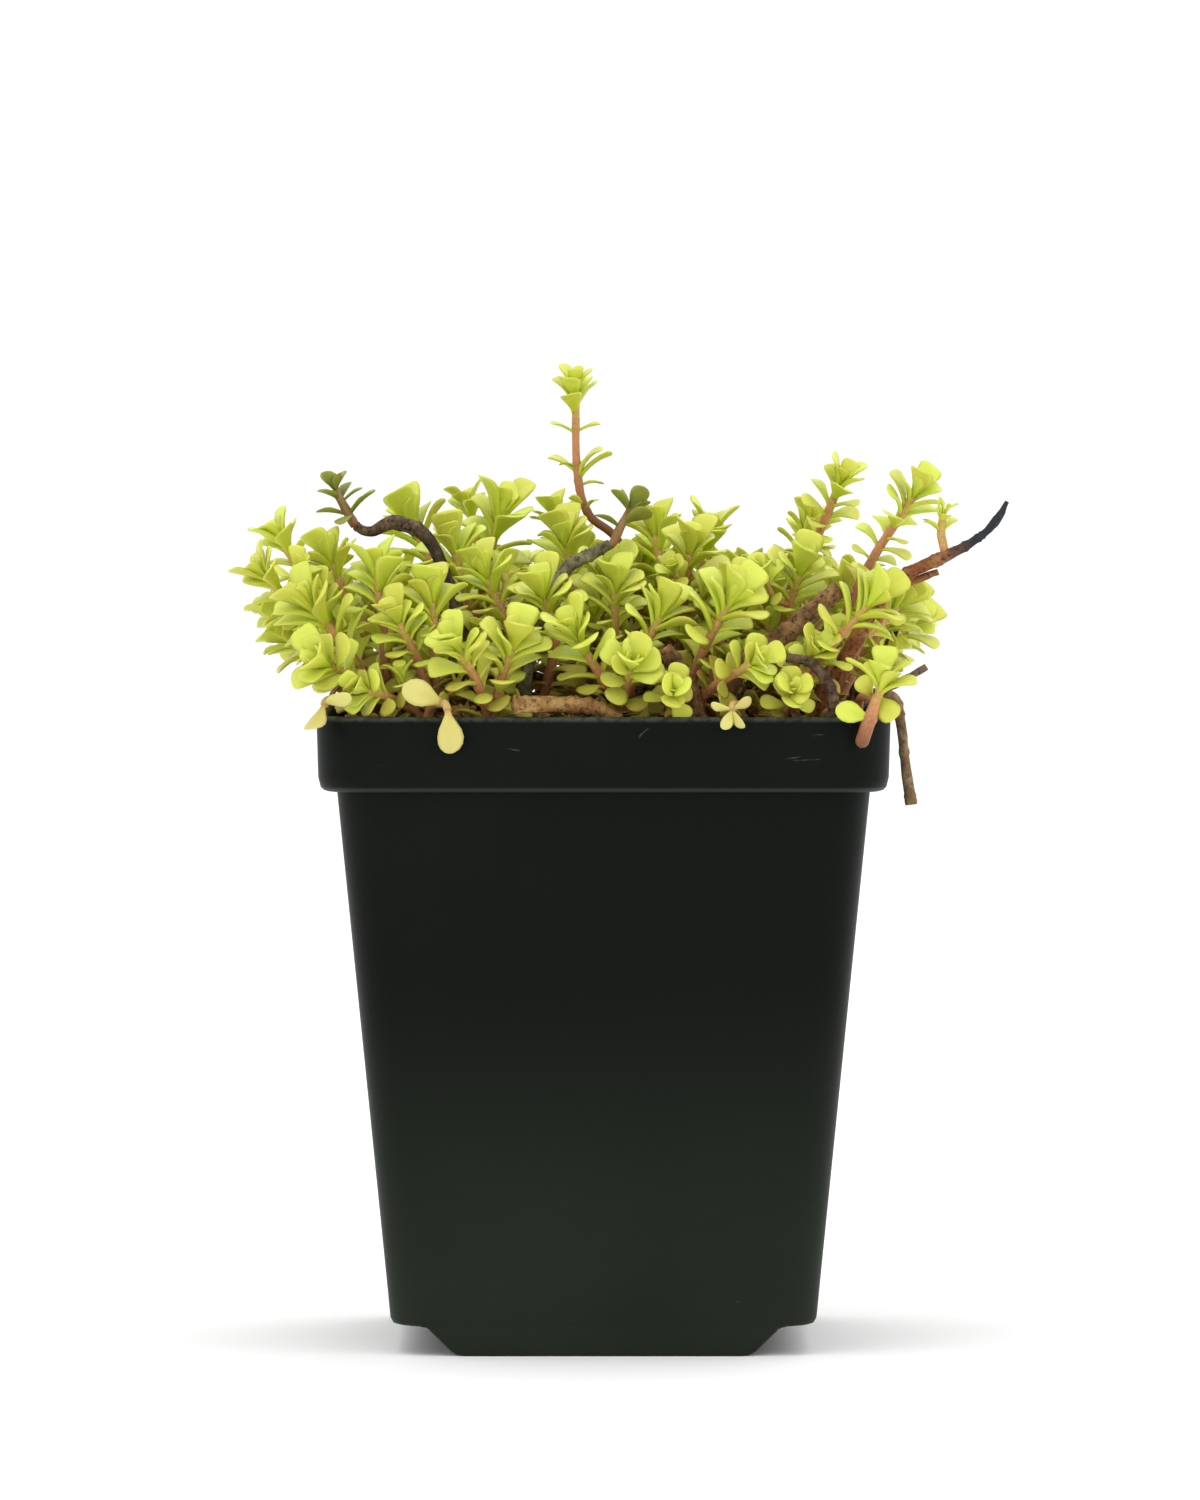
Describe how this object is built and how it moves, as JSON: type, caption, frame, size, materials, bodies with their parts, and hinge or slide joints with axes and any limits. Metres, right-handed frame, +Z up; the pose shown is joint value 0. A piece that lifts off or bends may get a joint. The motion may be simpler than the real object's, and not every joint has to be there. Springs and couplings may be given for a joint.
{
  "type": "potted ogon sedum",
  "caption": "Golden stonecrop growing over the rim of a square nursery pot: opposite wedge-shaped fleshy leaves in rosettes on thin stems, with old bare twigs.",
  "frame": {"origin": "centre of the pot's flat foot, on its underside", "axes": "+Z up, the front of the pot faces -Y, +X to the right seen from the front"},
  "size_m": [0.1219, 0.1017, 0.1513],
  "materials": {
    "pot": "satin",
    "soil": "matte",
    "leaf": "satin",
    "dark": "satin",
    "pale": "satin",
    "bark": "matte"
  },
  "bodies": {
    "root": {"pot": "pot", "soil": "soil", "bark_twig_left": "bark", "grey_twig_middle": "bark", "long_twig_right": "bark", "thick_stem_right": "bark", "branched_stem_front": "bark", "curved_twig_right": "bark", "rim_stub_right": "bark", "hanging_stem_right": "bark", "tan_stub_front": "bark", "knobbly_twig_right": "bark", "dark_rosette_left": "dark", "dark_rosette_middle": "dark", "sprout_on_twig_right": "leaf", "tall_shoot_middle": "leaf", "shoot_over_rim_right": "leaf", "pale_leaf_front": "pale", "sprig_over_rim_front": "pale", "pale_leaf_left_corner": "pale", "leafy_stem_01": "leaf", "leafy_stem_02": "leaf", "leafy_stem_03": "leaf", "leafy_stem_04": "leaf", "leafy_stem_05": "leaf", "leafy_stem_06": "leaf", "leafy_stem_07": "leaf", "leafy_stem_08": "leaf", "leafy_stem_09": "leaf", "leafy_stem_10": "leaf", "leafy_stem_11": "leaf", "leafy_stem_12": "leaf", "leafy_stem_13": "leaf", "leafy_stem_14": "leaf", "leafy_stem_15": "leaf", "leafy_stem_16": "leaf", "leafy_stem_17": "leaf", "leafy_stem_18": "leaf", "leafy_stem_19": "leaf", "leafy_stem_20": "leaf", "leafy_stem_21": "leaf", "leafy_stem_22": "leaf", "leafy_stem_23": "leaf", "leafy_stem_24": "leaf", "leafy_stem_25": "leaf", "leafy_stem_26": "leaf", "leafy_stem_27": "leaf", "leafy_stem_28": "leaf", "leafy_stem_29": "leaf", "leafy_stem_30": "leaf", "leafy_stem_31": "leaf", "leafy_stem_32": "leaf", "leafy_stem_33": "leaf", "leafy_stem_34": "leaf"}
  },
  "joints": []
}
